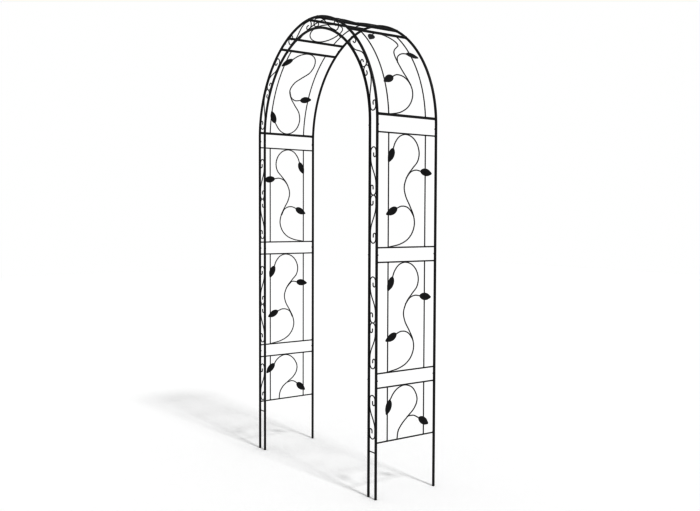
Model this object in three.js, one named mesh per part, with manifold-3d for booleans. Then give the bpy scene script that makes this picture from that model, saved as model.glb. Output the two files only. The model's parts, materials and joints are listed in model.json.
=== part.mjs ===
// Free-standing steel trellis arch for climbing plants: three hoops of slim tube, ladder scrollwork
// between the two front hoops, and welded vine panels between the front and back hoops.
// Units are millimetres, +Z is up, +X is to the right and the decorated double hoop faces -Y.
// The origin is on the ground, in the middle of the footprint.
import * as THREE from 'three';
import { mergeVertices } from 'three/addons/utils/BufferGeometryUtils.js';
import Module from 'manifold-3d';

// ---------------------------------------------------------------- driving dimensions
// Plan: distances between tube centres.
const POST_SPAN = 1114;
const POST_DEPTH = 368;
const LADDER_WIDTH = 57;

// Tiers from the ground up: bare foot, then panels with open gaps between them.
const FOOT_HEIGHT = 274;
const LOWER_PANEL_HEIGHT = 264;
const MIDDLE_PANEL_HEIGHT = 532;
const UPPER_PANEL_HEIGHT = 548;
const TIER_GAP = 70;
const SPRING_GAP = 54;

// Arch: two side arcs and a slightly tighter top arc, all tangent to each other and to the posts.
const SIDE_ARC_ANGLE = THREE.MathUtils.degToRad(75);
const SIDE_ARC_OVERREACH = 29;
const SPRING_RAIL_RISE = 31;
const SHOULDER_RAIL_ANGLE = THREE.MathUtils.degToRad(53.5);
const HAUNCH_RAIL_ANGLE = THREE.MathUtils.degToRad(62.3);
const RIDGE_RAIL_OFFSET = 41;

// Stock.
const TUBE_RADIUS = 6;
const TUBE_WALL = 0.9;
const HEAVY_RAIL_RADIUS = 6;
const LIGHT_RAIL_RADIUS = 3;
const ROD_RADIUS = 2.6;
const VINE_RADIUS = 2.5;
const SCROLL_RADIUS = 2.4;
const LEAF_LENGTH = 71;
const LEAF_WIDTH = 36;
const LEAF_THICKNESS = 2;
const FOOT_PLUG = 4;

// Joints: a swaged spigot on top of each tube slides into the tube above and is held by a screw.
const SPIGOT_LENGTH = 30;
const SPIGOT_CLEARANCE = 0.35;
const SCREW_ABOVE_RAIL = 35;
const SCREW_SHANK_RADIUS = 2;
const SCREW_SHANK_LENGTH = 6;
const SCREW_HEAD_RADIUS = 4;
const SCREW_CROWN_RADIUS = 2.8;
const SCREW_HEAD_HEIGHT = 2.4;
const HOLE_CLEARANCE = 0.35;

// Infill layout.
const ROD_INSET = 69;
const RUNG_HEIGHT = 225;
const SCROLL_FOOT_MARGIN = 21;
const SCROLL_HEAD_MARGIN = 70;
const SHORT_SCROLL_FOOT_MARGIN = 15;
const SHORT_SCROLL_HEAD_MARGIN = 38;
const SHOULDER_SCROLL_HEAD_MARGIN = 80;
const SHOULDER_SCROLL_SPLIT = 0.54;
const CROWN_SCROLL_FOOT_MARGIN = 55;
const CROWN_SCROLL_HEAD_MARGIN = 14;
const RING_HALF_WIDTH = 87;

// Weld bite into a welded neighbour, air left to a piece that is only fitted, and how far a cut
// runs past the face that it opens.
const WELD_BITE = 0.7;
const FIT_GAP = 0.3;
const CUT_PAST = 1;

// Facets.
const TUBE_SIDES = 8;
const WIRE_SIDES = 5;
const SCROLL_SIDES = 4;
const SCREW_SIDES = 6;
const ARC_STEP = THREE.MathUtils.degToRad(8.5);

// ---------------------------------------------------------------- derived layout
const HALF_SPAN = POST_SPAN / 2;
const FRONT_Y = -POST_DEPTH / 2;
const BACK_Y = POST_DEPTH / 2;

const SIDE_RADIUS = HALF_SPAN + SIDE_ARC_OVERREACH;
const CENTRE_SHIFT = SIDE_ARC_OVERREACH / Math.cos(SIDE_ARC_ANGLE);
const TOP_RADIUS = SIDE_RADIUS - CENTRE_SHIFT;
const SIDE_ARC_LENGTH = SIDE_RADIUS * SIDE_ARC_ANGLE;
const ARCH_HALF = SIDE_ARC_LENGTH + TOP_RADIUS * (Math.PI / 2 - SIDE_ARC_ANGLE);

// Heights of the panel rails, and of the spring line where the posts turn into the arch.
const LOWER_RAILS = [FOOT_HEIGHT, FOOT_HEIGHT + LOWER_PANEL_HEIGHT];
const MIDDLE_RAILS = [LOWER_RAILS[1] + TIER_GAP, LOWER_RAILS[1] + TIER_GAP + MIDDLE_PANEL_HEIGHT];
const UPPER_RAILS = [MIDDLE_RAILS[1] + TIER_GAP, MIDDLE_RAILS[1] + TIER_GAP + UPPER_PANEL_HEIGHT];
const SPRING_HEIGHT = UPPER_RAILS[1] + SPRING_GAP;

// A place on a hoop is its travel: the length along the outer hoop from the spring line,
// negative down the post and ARCH_HALF at the crown.
const travelOfHeight = (height) => height - SPRING_HEIGHT;
const travelOfAngle = (angle) => angle * SIDE_RADIUS;

const SHOULDER_RAILS = [SPRING_RAIL_RISE, travelOfAngle(SHOULDER_RAIL_ANGLE)];
const HAUNCH_RAIL = travelOfAngle(HAUNCH_RAIL_ANGLE);
const RIDGE_RAIL = ARCH_HALF - RIDGE_RAIL_OFFSET;

const SCREW_TRAVELS = [
  travelOfHeight(LOWER_RAILS[1] + SCREW_ABOVE_RAIL),
  travelOfHeight(MIDDLE_RAILS[1] + SCREW_ABOVE_RAIL),
  travelOfHeight(UPPER_RAILS[1] + SCREW_ABOVE_RAIL),
  (SHOULDER_RAILS[1] + HAUNCH_RAIL) / 2,
];
const SEAM_TRAVELS = SCREW_TRAVELS.map((travel) => travel - SPIGOT_LENGTH / 2);
const CROWN_SEAM = SEAM_TRAVELS[3];
const CROWN_SCREW = SCREW_TRAVELS[3];
const FOOT_TRAVEL = travelOfHeight(0);

// ---------------------------------------------------------------- solids
const wasm = await Module();
wasm.setup();

// Corners closer than this are one corner.
const SAME_POINT = 1e-4;

// Turns a closed three.js geometry into a manifold solid, welding its shared corners first.
function solidOf(geometry) {
  const bare = geometry.index ? geometry.toNonIndexed() : geometry.clone();
  bare.deleteAttribute('normal');
  bare.deleteAttribute('uv');
  const welded = mergeVertices(bare, SAME_POINT);
  return new wasm.Manifold(new wasm.Mesh({
    numProp: 3,
    vertProperties: new Float32Array(welded.attributes.position.array),
    triVerts: new Uint32Array(welded.index.array),
  }));
}

// Turns a manifold solid back into a three.js geometry.
function geometryOf(solid) {
  const mesh = solid.getMesh();
  const geometry = new THREE.BufferGeometry();
  geometry.setAttribute('position', new THREE.BufferAttribute(new Float32Array(mesh.vertProperties), 3));
  geometry.setIndex(new THREE.BufferAttribute(new Uint32Array(mesh.triVerts), 1));
  geometry.computeVertexNormals();
  return geometry;
}

const joined = (solids) => solids.reduce((sum, solid) => sum.add(solid));

// A route that passes exactly through the given stations, each with its own direction.
class StationPath extends THREE.Curve {
  constructor(points, tangents) {
    super();
    this.points = points;
    this.tangents = tangents;
  }

  getPointAt(u) {
    return this.points[Math.round(u * (this.points.length - 1))].clone();
  }

  getTangentAt(u) {
    return this.tangents[Math.round(u * (this.points.length - 1))].clone();
  }
}

// A many-sided round bar whose flats are `radius` from its centre.
function roundSection(radius, sides) {
  const section = new THREE.Shape();
  const corner = radius / Math.cos(Math.PI / sides);
  for (let i = 0; i < sides; i += 1) {
    const angle = ((i + 0.5) / sides) * 2 * Math.PI;
    const x = corner * Math.cos(angle);
    const y = corner * Math.sin(angle);
    if (i === 0) section.moveTo(x, y);
    else section.lineTo(x, y);
  }
  section.closePath();
  return section;
}

// A round bar along stations.
function bar(points, tangents, radius, sides) {
  const path = new StationPath(points, tangents);
  const options = { steps: points.length - 1, extrudePath: path };
  return solidOf(new THREE.ExtrudeGeometry(roundSection(radius, sides), options));
}

function straightBar(start, end, radius, sides) {
  const along = end.clone().sub(start).normalize();
  return bar([start, end], [along, along], radius, sides);
}

// A bar through points, with each station's direction taken from its neighbours.
function bentBar(points, radius, sides) {
  const last = points.length - 1;
  const tangents = points.map((_, i) => {
    const before = points[Math.max(i - 1, 0)];
    const after = points[Math.min(i + 1, last)];
    return after.clone().sub(before).normalize();
  });
  return bar(points, tangents, radius, sides);
}

// ---------------------------------------------------------------- hoop geometry
// Centre line of the right half of a hoop. `inset` moves it inwards, as on the inner front hoop.
function hoopStation(travel, inset = 0) {
  if (travel <= 0) {
    return { x: HALF_SPAN - inset, z: SPRING_HEIGHT + travel, angle: 0 };
  }
  if (travel <= SIDE_ARC_LENGTH) {
    const angle = travel / SIDE_RADIUS;
    const radius = SIDE_RADIUS - inset;
    return {
      x: HALF_SPAN - SIDE_RADIUS + radius * Math.cos(angle),
      z: SPRING_HEIGHT + radius * Math.sin(angle),
      angle,
    };
  }
  const angle = SIDE_ARC_ANGLE + (travel - SIDE_ARC_LENGTH) / TOP_RADIUS;
  const radius = TOP_RADIUS - inset;
  return {
    x: radius * Math.cos(angle),
    z: SPRING_HEIGHT + CENTRE_SHIFT * Math.sin(SIDE_ARC_ANGLE) + radius * Math.sin(angle),
    angle,
  };
}

// The same for the whole hoop: travel past the crown carries on down the left side.
function trueFrame(travel, inset, y) {
  const beyond = travel > ARCH_HALF;
  const station = hoopStation(beyond ? 2 * ARCH_HALF - travel : travel, inset);
  const side = beyond ? -1 : 1;
  const point = new THREE.Vector3(side * station.x, y, station.z);
  const rise = side * Math.cos(station.angle);
  const tangent = new THREE.Vector3(-Math.sin(station.angle), 0, rise);
  const inward = new THREE.Vector3(-side * Math.cos(station.angle), 0, -Math.sin(station.angle));
  return { point, tangent, inward };
}

// Travels where every hoop is given a station, so that tubes and the cuts made for them agree.
function archStops() {
  const breaks = [0, SIDE_ARC_LENGTH, ARCH_HALF];
  for (const seam of SEAM_TRAVELS) {
    if (seam > 0) breaks.push(seam, seam + SPIGOT_LENGTH);
  }
  breaks.sort((a, b) => a - b);
  const stops = [];
  for (let i = 0; i + 1 < breaks.length; i += 1) {
    const span = breaks[i + 1] - breaks[i];
    const steps = Math.max(1, Math.round(span / (ARC_STEP * SIDE_RADIUS)));
    for (let k = 0; k < steps; k += 1) stops.push(breaks[i] + (span * k) / steps);
  }
  return [...stops, ...stops.map((stop) => 2 * ARCH_HALF - stop), ARCH_HALF].sort((a, b) => a - b);
}
const ARCH_STOPS = archStops();

// A place on the faceted hoop: between two stations it lies on the straight facet that joins them,
// so that whatever is welded to a hoop follows the same facets.
function hoopFrame(travel, inset, y) {
  const frame = trueFrame(travel, inset, y);
  const next = ARCH_STOPS.findIndex((stop) => stop > travel);
  if (next > 0) {
    const [low, high] = [ARCH_STOPS[next - 1], ARCH_STOPS[next]];
    const start = trueFrame(low, inset, y).point;
    const end = trueFrame(high, inset, y).point;
    frame.point = start.lerp(end, (travel - low) / (high - low));
  }
  return frame;
}

// A bar that follows a hoop from one travel to another.
function hoopBar(from, to, inset, y, radius, sides) {
  const between = ARCH_STOPS.filter((stop) => stop > from + 1 && stop < to - 1);
  const frames = [from, ...between, to].map((travel) => hoopFrame(travel, inset, y));
  return bar(frames.map((f) => f.point), frames.map((f) => f.tangent), radius, sides);
}

// What a whole hoop fills, with the fitting gap around it.
function hoopEnvelope(inset, y) {
  const reach = 2 * TUBE_RADIUS;
  const from = FOOT_TRAVEL - reach;
  const to = 2 * ARCH_HALF - FOOT_TRAVEL + reach;
  return hoopBar(from, to, inset, y, TUBE_RADIUS + FIT_GAP, TUBE_SIDES);
}

// ---------------------------------------------------------------- tube sections and screws
const HOOPS = [
  { name: 'front_outer', inset: 0, y: FRONT_Y, screwSide: () => new THREE.Vector3(0, 1, 0) },
  { name: 'front_inner', inset: LADDER_WIDTH, y: FRONT_Y, screwSide: (frame) => frame.inward },
  { name: 'back', inset: 0, y: BACK_Y, screwSide: () => new THREE.Vector3(0, -1, 0) },
];
const SECTION_NAMES = ['lower_post', 'middle_post', 'upper_post', 'shoulder_tube'];

const BORE_RADIUS = TUBE_RADIUS - TUBE_WALL;
const SPIGOT_RADIUS = BORE_RADIUS - SPIGOT_CLEARANCE;
const SPIGOT_BORE_RADIUS = SPIGOT_RADIUS - TUBE_WALL;

// A screw hole through the near wall of a tube and of the spigot inside it.
function screwHole(hoop, travel) {
  const frame = hoopFrame(travel, hoop.inset, hoop.y);
  const out = hoop.screwSide(frame);
  const end = frame.point.clone().addScaledVector(out, 2 * TUBE_RADIUS);
  return straightBar(frame.point, end, SCREW_SHANK_RADIUS + HOLE_CLEARANCE, SCREW_SIDES);
}

// A post or shoulder section of the right side: socket at its foot end, swaged spigot at its top.
function sideSection(hoop, index, extras) {
  const { inset, y } = hoop;
  const foot = index === 0;
  const from = foot ? FOOT_TRAVEL : SEAM_TRAVELS[index - 1];
  const to = SEAM_TRAVELS[index];
  const tip = to + SPIGOT_LENGTH;
  const neck = to - TUBE_WALL;
  const boreStart = foot ? from + FOOT_PLUG : from - CUT_PAST;
  const skin = [
    hoopBar(from, to, inset, y, TUBE_RADIUS, TUBE_SIDES),
    hoopBar(neck, tip, inset, y, SPIGOT_RADIUS, TUBE_SIDES),
    ...extras,
  ];
  const bores = [
    hoopBar(boreStart, neck, inset, y, BORE_RADIUS, TUBE_SIDES),
    hoopBar(neck - CUT_PAST, tip + CUT_PAST, inset, y, SPIGOT_BORE_RADIUS, TUBE_SIDES),
    screwHole(hoop, SCREW_TRAVELS[index]),
  ];
  if (!foot) bores.push(screwHole(hoop, SCREW_TRAVELS[index - 1]));
  return joined(skin).subtract(joined(bores));
}

// The crown section has a socket at each end, over the spigots of both shoulders.
function crownSection(hoop, extras) {
  const { inset, y } = hoop;
  const from = CROWN_SEAM;
  const to = 2 * ARCH_HALF - from;
  const skin = [hoopBar(from, to, inset, y, TUBE_RADIUS, TUBE_SIDES), ...extras];
  const bores = [
    hoopBar(from - CUT_PAST, to + CUT_PAST, inset, y, BORE_RADIUS, TUBE_SIDES),
    screwHole(hoop, CROWN_SCREW),
    screwHole(hoop, 2 * ARCH_HALF - CROWN_SCREW),
  ];
  return joined(skin).subtract(joined(bores));
}

// A pan-head screw, made upright on the origin with the underside of its head at z = 0.
function screwSolid() {
  const profile = [
    new THREE.Vector2(0, -SCREW_SHANK_LENGTH),
    new THREE.Vector2(SCREW_SHANK_RADIUS, -SCREW_SHANK_LENGTH),
    new THREE.Vector2(SCREW_SHANK_RADIUS, 0),
    new THREE.Vector2(SCREW_HEAD_RADIUS, 0),
    new THREE.Vector2(SCREW_CROWN_RADIUS, SCREW_HEAD_HEIGHT),
    new THREE.Vector2(0, SCREW_HEAD_HEIGHT),
  ];
  return new THREE.LatheGeometry(profile, SCREW_SIDES).rotateX(Math.PI / 2);
}

function screwGeometry(hoop, travel) {
  const frame = hoopFrame(travel, hoop.inset, hoop.y);
  const out = hoop.screwSide(frame);
  const turn = new THREE.Quaternion().setFromUnitVectors(new THREE.Vector3(0, 0, 1), out);
  const seat = frame.point.clone().addScaledVector(out, TUBE_RADIUS + FIT_GAP);
  const place = new THREE.Matrix4().compose(seat, turn, new THREE.Vector3(1, 1, 1));
  return geometryOf(solidOf(screwSolid().applyMatrix4(place)));
}

// ---------------------------------------------------------------- ladder scrollwork
// One S-scroll between the front hoops, from one travel to another. Its hooks bear on both tubes
// and each ends in a small inward curl. A rising scroll leans from the inner tube at its foot to
// the outer tube at its head; a falling one is its mirror image, top to bottom.
const CURL_RADIUS = 9.5;
const CURL_DEPTH = 38;
const CURL_TAIL = 11;
const HOOK_SHANK = 50;
const SCROLL_STEPS = 2;

function scrollPath(length) {
  const outer = TUBE_RADIUS + SCROLL_RADIUS;
  const inner = LADDER_WIDTH - TUBE_RADIUS - SCROLL_RADIUS + WELD_BITE;
  const hook = (inner - outer) / 2;
  const middle = (inner + outer) / 2;
  const curlOuter = outer + CURL_RADIUS;
  const curlInner = inner - CURL_RADIUS;
  const path = new THREE.Path();
  path.moveTo(curlInner - CURL_RADIUS, length - CURL_DEPTH + CURL_TAIL);
  path.lineTo(curlInner - CURL_RADIUS, length - CURL_DEPTH);
  path.absarc(curlInner, length - CURL_DEPTH, CURL_RADIUS, Math.PI, 2 * Math.PI, false);
  path.lineTo(inner, length - hook);
  path.absarc(middle, length - hook, hook, 0, Math.PI, false);
  path.lineTo(outer, length - HOOK_SHANK);
  path.bezierCurveTo(outer, length * 0.55, inner, length * 0.45, inner, HOOK_SHANK);
  path.lineTo(inner, hook);
  path.absarc(middle, hook, hook, 0, Math.PI, true);
  path.lineTo(outer, CURL_DEPTH);
  path.absarc(curlOuter, CURL_DEPTH, CURL_RADIUS, Math.PI, 0, true);
  path.lineTo(curlOuter + CURL_RADIUS, CURL_DEPTH - CURL_TAIL);
  return path;
}

function scroll(from, to, rising, radius = SCROLL_RADIUS) {
  const length = to - from;
  const stations = scrollPath(length).getPoints(SCROLL_STEPS);
  const points = stations.map(({ x, y }) => {
    const travel = rising ? from + y : to - y;
    return hoopFrame(travel, x, FRONT_Y).point;
  });
  return bentBar(points, radius, SCROLL_SIDES);
}

// A rising scroll below and a falling one above it, back to back.
function scrollPair(from, middle, to) {
  return [scroll(from, middle, true), scroll(middle, to, false)];
}

function panelScrolls(rails) {
  const from = travelOfHeight(rails[0] + SCROLL_FOOT_MARGIN);
  const to = travelOfHeight(rails[1] - SCROLL_HEAD_MARGIN);
  return scrollPair(from, (from + to) / 2, to);
}

function shoulderScrolls() {
  const from = SHOULDER_RAILS[0] + SCROLL_FOOT_MARGIN;
  const to = CROWN_SEAM - SHOULDER_SCROLL_HEAD_MARGIN;
  return scrollPair(from, from + (to - from) * SHOULDER_SCROLL_SPLIT, to);
}

function lowerScrollAndRung() {
  const from = travelOfHeight(LOWER_RAILS[0] + SHORT_SCROLL_FOOT_MARGIN);
  const to = travelOfHeight(LOWER_RAILS[1] - SHORT_SCROLL_HEAD_MARGIN);
  const rungTravel = travelOfHeight(RUNG_HEIGHT);
  const rungStart = hoopFrame(rungTravel, LADDER_WIDTH, FRONT_Y).point;
  const rungEnd = hoopFrame(rungTravel, 0, FRONT_Y).point;
  return [scroll(from, to, false), straightBar(rungStart, rungEnd, SCROLL_RADIUS, SCROLL_SIDES)];
}

function crownScrolls(radius = SCROLL_RADIUS) {
  const from = CROWN_SEAM + CROWN_SCROLL_FOOT_MARGIN;
  const right = scroll(from, ARCH_HALF - CROWN_SCROLL_HEAD_MARGIN, true, radius);
  return [right, right.mirror([1, 0, 0])];
}

const LADDER_WORK = [
  lowerScrollAndRung(),
  panelScrolls(MIDDLE_RAILS),
  panelScrolls(UPPER_RAILS),
  shoulderScrolls(),
];
const CROWN_WORK = crownScrolls();

// ---------------------------------------------------------------- vine panels
// A panel is laid out on the surface between the front and back hoops, in shares of its size:
// u runs from the front hoop (0) to the back hoop (1), v from the bottom rail (0) to the top (1).
class PanelMap {
  constructor(low, high, flipped = false) {
    this.low = low;
    this.high = high;
    this.flipped = flipped;
  }

  point([u, v]) {
    const across = this.flipped ? 1 - u : u;
    const y = FRONT_Y + across * POST_DEPTH;
    return hoopFrame(this.low + v * (this.high - this.low), 0, y).point;
  }

  // Direction on the surface at a heading, in degrees up from the line front to back.
  heading([, v], degrees) {
    const { tangent, inward } = hoopFrame(this.low + v * (this.high - this.low), 0, 0);
    const turn = THREE.MathUtils.degToRad(degrees);
    const backward = new THREE.Vector3(0, this.flipped ? -1 : 1, 0);
    const along = tangent.clone().multiplyScalar(Math.sin(turn));
    along.addScaledVector(backward, Math.cos(turn));
    return { along, normal: inward };
  }
}

// A wire bent into an S with two branches. middleTip is how far across the middle leaf hangs;
// lowLift raises the low branch along the S.
function threeLeafVine(middleTip, lowLift) {
  const low = [0.326, 0.343 + lowLift];
  return {
    stems: [
      [[0.262, 0.861], [0.297, 0.918], [0.37, 0.973], [0.47, 0.994], [0.58, 0.975], [0.665, 0.92],
        [0.704, 0.84], [0.68, 0.765], [0.6, 0.705], [0.505, 0.63], [0.452, 0.535], [0.475, 0.455],
        [0.55, 0.365], [0.61, 0.285], [0.63, 0.205], [0.59, 0.125], [0.505, 0.065], [0.38, 0.027],
        [0.2, 0.004]],
      [[0.49, 0.615], [0.556, 0.664], [middleTip - 0.09, 0.685], [middleTip, 0.677]],
      [[0.615 - lowLift, 0.275 + lowLift], [0.555, 0.33 + lowLift], [0.49, 0.357 + lowLift],
        [0.405, 0.362 + lowLift], low],
    ],
    leaves: [
      { at: [0.262, 0.861], heading: -114 },
      { at: [middleTip, 0.677], heading: -8 },
      { at: low, heading: -155 },
    ],
  };
}

const THREE_LEAF_VINE = threeLeafVine(0.735, 0);
const SHORT_BRANCH_VINE = threeLeafVine(0.69, 0.018);
const HIGH_BRANCH_VINE = threeLeafVine(0.735, 0.018);

// The right shoulder's vine has a shallower waist and carries its upper leaf close under the rail.
const SHALLOW_VINE = {
  stems: [
    [[0.35, 0.935], [0.4, 0.97], [0.47, 0.99], [0.55, 0.98], [0.62, 0.945], [0.67, 0.9],
      [0.697, 0.85], [0.69, 0.808], [0.634, 0.768], [0.571, 0.728], [0.53, 0.685], [0.512, 0.63],
      [0.514, 0.575], [0.524, 0.515], [0.55, 0.445], [0.593, 0.37], [0.622, 0.31], [0.632, 0.25],
      [0.61, 0.18], [0.53, 0.095], [0.39, 0.033], [0.2, 0.004]],
    [[0.514, 0.56], [0.547, 0.62], [0.625, 0.669], [0.7, 0.688], [0.75, 0.688]],
    [[0.619, 0.318], [0.58, 0.366], [0.514, 0.399], [0.421, 0.406], [0.339, 0.38]],
  ],
  leaves: [
    { at: [0.35, 0.935], heading: -132 },
    { at: [0.75, 0.688], heading: -14 },
    { at: [0.339, 0.38], heading: -152 },
  ],
};

const TWO_LEAF_VINE = {
  stems: [
    [[0.228, 0.745], [0.3, 0.885], [0.385, 0.965], [0.485, 0.99], [0.61, 0.925], [0.685, 0.77],
      [0.694, 0.655], [0.645, 0.525], [0.545, 0.405], [0.445, 0.285], [0.375, 0.16],
      [0.353, 0.005]],
    [[0.535, 0.395], [0.575, 0.4], [0.64, 0.392], [0.731, 0.328]],
  ],
  leaves: [
    { at: [0.228, 0.745], heading: -107 },
    { at: [0.731, 0.328], heading: -32 },
  ],
};

// The left side's lower vine is bent rounder, with its upper leaf set higher and more aslant.
const ROUND_TWO_LEAF_VINE = {
  stems: [
    [[0.26, 0.805], [0.303, 0.89], [0.382, 0.965], [0.469, 0.99], [0.555, 0.958], [0.636, 0.865],
      [0.69, 0.722], [0.68, 0.587], [0.618, 0.468], [0.518, 0.37], [0.422, 0.272],
      [0.368, 0.153], [0.352, 0.005]],
    [[0.505, 0.355], [0.59, 0.375], [0.65, 0.348], [0.695, 0.301]],
  ],
  leaves: [
    { at: [0.26, 0.805], heading: -137 },
    { at: [0.695, 0.301], heading: -39 },
  ],
};

// The two loops of this vine mirror each other above and below its middle.
const LOOPED_VINE = {
  stems: [
    [[0.28, 0.885], [0.36, 0.95], [0.46, 0.985], [0.57, 0.98], [0.665, 0.93], [0.712, 0.84],
      [0.685, 0.745], [0.58, 0.67], [0.48, 0.6], [0.436, 0.51], [0.48, 0.43], [0.58, 0.345],
      [0.685, 0.26], [0.718, 0.17], [0.675, 0.08], [0.57, 0.022], [0.46, 0.012], [0.36, 0.045],
      [0.265, 0.128]],
    [[0.438, 0.5], [0.49, 0.43], [0.57, 0.397], [0.677, 0.405]],
  ],
  leaves: [
    { at: [0.28, 0.885], heading: -132 },
    { at: [0.677, 0.405], heading: 8 },
    { at: [0.265, 0.128], heading: 114 },
  ],
};

const STEPS_PER_POINT = 1.25;

// A bent wire through hand-placed points of the panel.
function vineWire(map, places) {
  const bends = places.map((place) => map.point(place));
  const curve = new THREE.CatmullRomCurve3(bends, false, 'centripetal');
  const steps = Math.ceil((places.length - 1) * STEPS_PER_POINT);
  const points = [];
  const tangents = [];
  for (let i = 0; i <= steps; i += 1) {
    points.push(curve.getPoint(i / steps));
    tangents.push(curve.getTangent(i / steps));
  }
  return bar(points, tangents, VINE_RADIUS, WIRE_SIDES);
}

// A flat leaf, full at its stem and pointed at its tip, laid on the panel from the end of its stem.
// The bulge is how far past the edge the curve's handles stand for it to reach the half width.
const LEAF_CURVE_STEPS = 4;
const LEAF_BULGE = 4 / 3;

function leafPlate(map, { at, heading }) {
  const half = LEAF_WIDTH / 2;
  const shape = new THREE.Shape();
  shape.moveTo(-VINE_RADIUS, 0);
  const [stem, tip] = [LEAF_LENGTH * 0.02, LEAF_LENGTH * 0.66];
  const bulge = half * LEAF_BULGE;
  shape.bezierCurveTo(stem, -bulge, tip, -bulge, LEAF_LENGTH, 0);
  shape.bezierCurveTo(tip, bulge, stem, bulge, -VINE_RADIUS, 0);
  const plate = new THREE.ExtrudeGeometry(shape, {
    depth: LEAF_THICKNESS,
    bevelEnabled: false,
    curveSegments: LEAF_CURVE_STEPS,
  });
  plate.translate(0, 0, -LEAF_THICKNESS / 2);
  const { along, normal } = map.heading(at, heading);
  const across = normal.clone().cross(along);
  const place = new THREE.Matrix4().makeBasis(along, across, normal).setPosition(map.point(at));
  return solidOf(plate.applyMatrix4(place));
}

function vineSolids(map, vine) {
  const wires = vine.stems.map((places) => vineWire(map, places));
  const leaves = vine.leaves.map((leaf) => leafPlate(map, leaf));
  return [...wires, ...leaves];
}

function rail(travel, radius) {
  const front = hoopFrame(travel, 0, FRONT_Y).point;
  const back = hoopFrame(travel, 0, BACK_Y).point;
  return straightBar(front, back, radius, TUBE_SIDES);
}

// The two rods that run up a panel, one beside each hoop.
function rods(from, to) {
  return [FRONT_Y + ROD_INSET, BACK_Y - ROD_INSET].map((y) => (
    hoopBar(from, to, 0, y, ROD_RADIUS, WIRE_SIDES)
  ));
}

// Every panel is coped to the two hoops that it stands between.
const OUTER_FRONT_ENVELOPE = hoopEnvelope(0, FRONT_Y);
const SIDE_ENVELOPES = OUTER_FRONT_ENVELOPE.add(hoopEnvelope(0, BACK_Y));
const coped = (solids) => joined(solids).subtract(SIDE_ENVELOPES);

function postPanel(rails, vine, flipped) {
  const [low, high] = rails.map(travelOfHeight);
  const map = new PanelMap(low, high, flipped);
  return coped([
    rail(low, LIGHT_RAIL_RADIUS),
    rail(high, LIGHT_RAIL_RADIUS),
    ...rods(low, high),
    ...vineSolids(map, vine),
  ]);
}

function shoulderPanel(vine) {
  const [low, high] = SHOULDER_RAILS;
  const map = new PanelMap(low, high);
  return coped([
    rail(low, HEAVY_RAIL_RADIUS),
    rail(high, HEAVY_RAIL_RADIUS),
    ...rods(low, high),
    ...vineSolids(map, vine),
  ]);
}

// An oval ring that touches the haunch rail and the ridge rail.
const RING_STEPS = 16;

function crownRing() {
  const centre = (HAUNCH_RAIL + RIDGE_RAIL) / 2;
  const bite = HEAVY_RAIL_RADIUS + VINE_RADIUS - WELD_BITE;
  const reach = (RIDGE_RAIL - HAUNCH_RAIL) / 2 - bite;
  const halves = [0, Math.PI].map((start) => {
    const points = [];
    for (let i = 0; i <= RING_STEPS / 2; i += 1) {
      const turn = start + (i / RING_STEPS) * 2 * Math.PI;
      const y = RING_HALF_WIDTH * Math.sin(turn);
      points.push(hoopFrame(centre + reach * Math.cos(turn), 0, y).point);
    }
    return bentBar(points, VINE_RADIUS, WIRE_SIDES);
  });
  return joined(halves);
}

// The crown panel is also coped to the scrollwork that meets the outer hoop under it.
function crownPanel() {
  const ring = crownRing();
  const scrollEnvelope = joined(crownScrolls(SCROLL_RADIUS + FIT_GAP));
  const rightRails = [HAUNCH_RAIL, RIDGE_RAIL].map((travel) => rail(travel, HEAVY_RAIL_RADIUS));
  const leftRails = rightRails.map((solid) => solid.mirror([1, 0, 0]));
  return coped([
    ...rightRails,
    ...leftRails,
    ...rods(HAUNCH_RAIL, 2 * ARCH_HALF - HAUNCH_RAIL),
    ring,
    ring.mirror([1, 0, 0]),
  ]).subtract(scrollEnvelope);
}

// ---------------------------------------------------------------- assembly
const POWDER_COAT = new THREE.MeshStandardMaterial({ color: 0x1a1b1d, roughness: 0.42, metalness: 0.2 });
const SCREW_FINISH = new THREE.MeshStandardMaterial({ color: 0x24262a, roughness: 0.35, metalness: 0.8 });

const arch = new THREE.Group();

function place(name, geometry, material) {
  const mesh = new THREE.Mesh(geometry, material);
  mesh.name = name;
  arch.add(mesh);
}

// Makes a right-hand piece and its mirror image on the left.
function placeBothSides(hoopName, pieceName, solid, material) {
  const prefix = hoopName ? `${hoopName}_` : '';
  place(`${prefix}right_${pieceName}`, geometryOf(solid), material);
  place(`${prefix}left_${pieceName}`, geometryOf(solid.mirror([1, 0, 0])), material);
}

// Scrollwork is welded to the inner hoop and only meets the outer one.
function ladderExtras(hoop, work) {
  if (hoop.name !== 'front_inner') return [];
  return [joined(work).subtract(OUTER_FRONT_ENVELOPE)];
}

for (const hoop of HOOPS) {
  SECTION_NAMES.forEach((name, index) => {
    const extras = ladderExtras(hoop, LADDER_WORK[index]);
    placeBothSides(hoop.name, name, sideSection(hoop, index, extras), POWDER_COAT);
  });
  const crown = crownSection(hoop, ladderExtras(hoop, CROWN_WORK));
  place(`${hoop.name}_crown_tube`, geometryOf(crown), POWDER_COAT);
  SCREW_TRAVELS.forEach((travel, index) => {
    const right = screwGeometry(hoop, travel);
    const left = screwGeometry(hoop, 2 * ARCH_HALF - travel);
    place(`${hoop.name}_right_screw_${index + 1}`, right, SCREW_FINISH);
    place(`${hoop.name}_left_screw_${index + 1}`, left, SCREW_FINISH);
  });
}

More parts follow.
